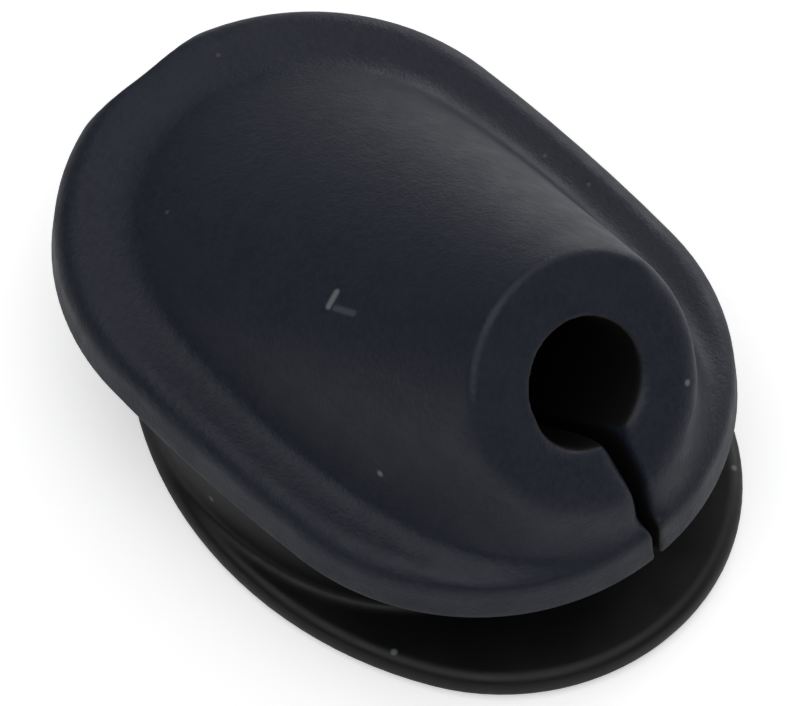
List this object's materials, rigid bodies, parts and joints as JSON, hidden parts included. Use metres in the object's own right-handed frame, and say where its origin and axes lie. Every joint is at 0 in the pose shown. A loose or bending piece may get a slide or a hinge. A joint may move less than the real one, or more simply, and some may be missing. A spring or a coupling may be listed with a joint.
{
  "type": "angled rubber cable grommet",
  "caption": "Moulded rubber grommet with an oval cap, a hood and a slit angled bore, held in an oval panel hole by a neck and a thin lip.",
  "frame": {"origin": "centre of the oval panel hole, on the panel's outer face, under the cap", "axes": "+Z out of the panel; +X along the cap towards the hood's face and the slit; the part is the same on both sides of Y = 0"},
  "size_m": [0.0277, 0.0194, 0.0162],
  "materials": {
    "black_rubber": "black moulded rubber, satin with a fine mould grain on the cap and hood, smoother and glossier on the neck and lip"
  },
  "bodies": {
    "root": {"grommet": "black_rubber"}
  },
  "joints": []
}
